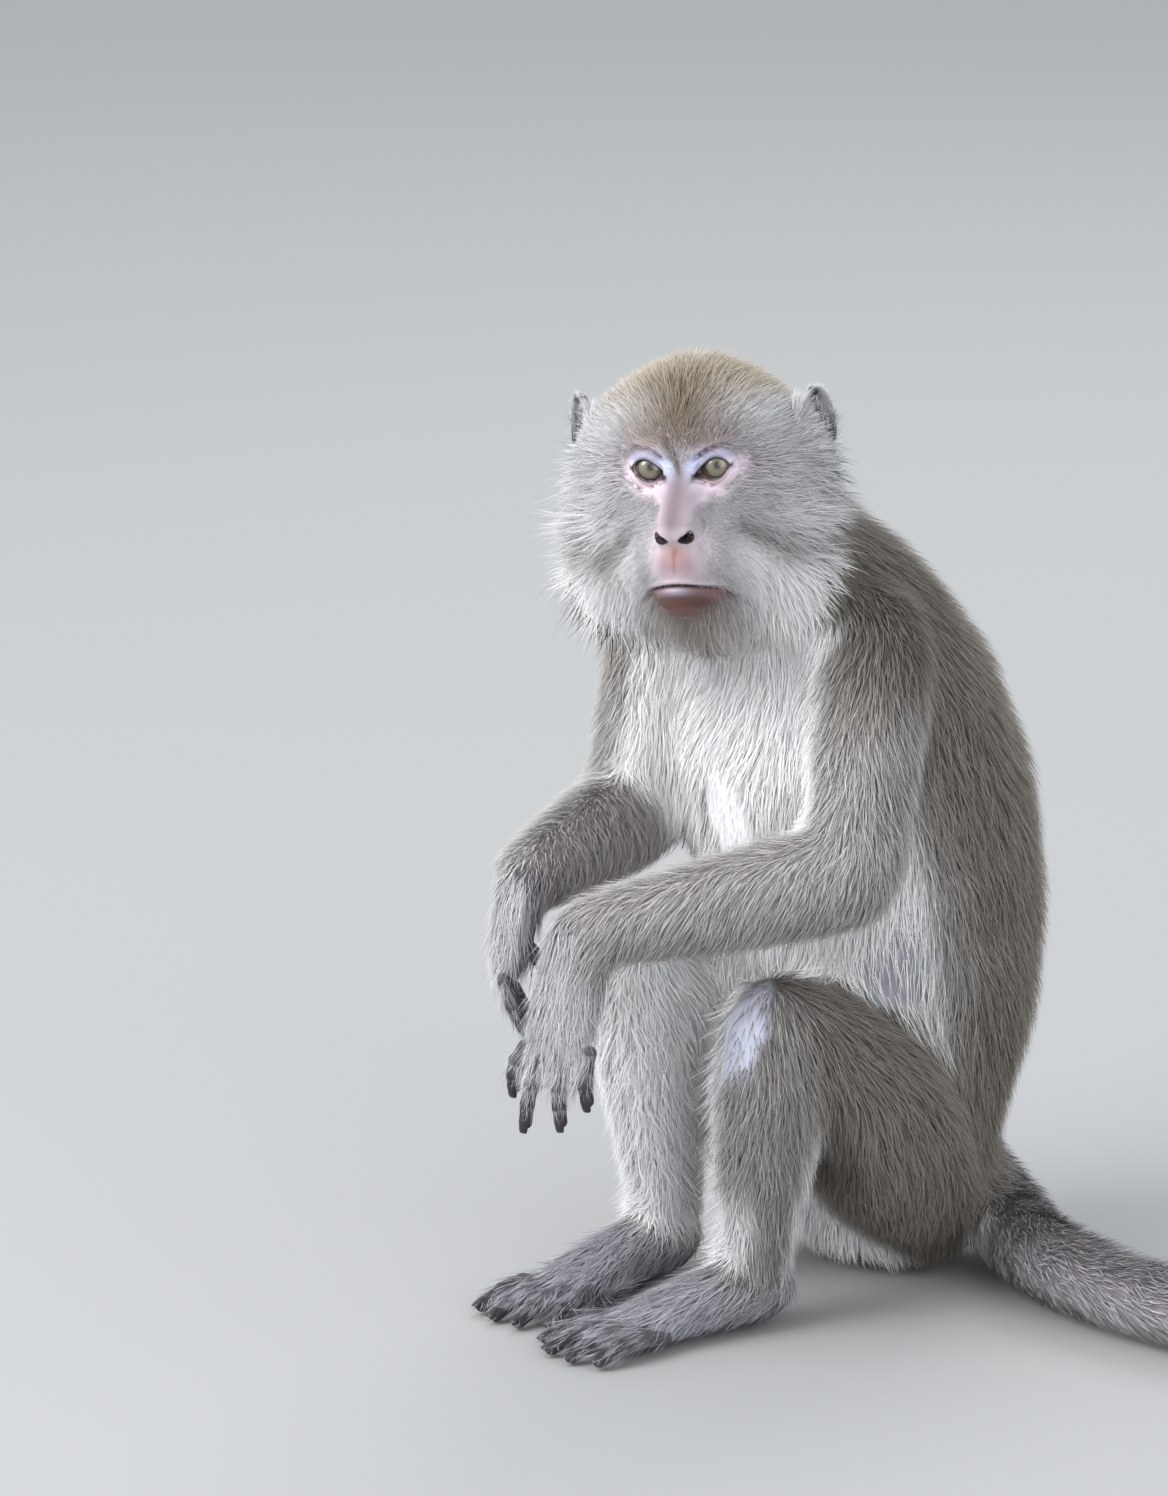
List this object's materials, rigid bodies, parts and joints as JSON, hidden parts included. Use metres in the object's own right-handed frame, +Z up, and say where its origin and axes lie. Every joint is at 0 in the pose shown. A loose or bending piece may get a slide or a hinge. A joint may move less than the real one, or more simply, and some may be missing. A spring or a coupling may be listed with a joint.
{
  "type": "long-tailed macaque",
  "caption": "Life-size long-tailed macaque monkey sitting at rest: knees drawn up, forearms laid over the knees, hands hanging, head turned to its left, tail curled along the floor.",
  "frame": {"origin": "on the floor, at the middle of the whole animal's outline in plan", "axes": "+Z up, the trunk faces -Y, +X is the animal's left, the side that the tail sweeps round to"},
  "size_m": [0.518, 0.416, 0.4561],
  "materials": {
    "coat": "grey-brown fur with pale tips, matte",
    "pale_coat": "pale grey fur, golden brown on the crown, matte",
    "skin": "bare skin, pinkish on the face and dark grey on the digits, slightly moist",
    "eye": "grey-olive iris, wet and glossy"
  },
  "bodies": {
    "root": {"head": "pale_coat", "neck": "coat", "chest": "coat", "abdomen": "coat", "tail_1": "coat", "tail_2": "coat", "tail_3": "coat", "tail_4": "coat", "tail_5": "coat", "eye_left": "eye", "ear_left": "skin", "upper_arm_left": "coat", "forearm_left": "coat", "hand_left": "skin", "thumb_left": "skin", "index_finger_left": "skin", "middle_finger_left": "skin", "ring_finger_left": "skin", "little_finger_left": "skin", "thigh_left": "coat", "shank_left": "coat", "foot_left": "skin", "big_toe_left": "skin", "toe_2_left": "skin", "toe_3_left": "skin", "toe_4_left": "skin", "toe_5_left": "skin", "eye_right": "eye", "ear_right": "skin", "upper_arm_right": "coat", "forearm_right": "coat", "hand_right": "skin", "thumb_right": "skin", "index_finger_right": "skin", "middle_finger_right": "skin", "ring_finger_right": "skin", "little_finger_right": "skin", "thigh_right": "coat", "shank_right": "coat", "foot_right": "skin", "big_toe_right": "skin", "toe_2_right": "skin", "toe_3_right": "skin", "toe_4_right": "skin", "toe_5_right": "skin"}
  },
  "joints": []
}
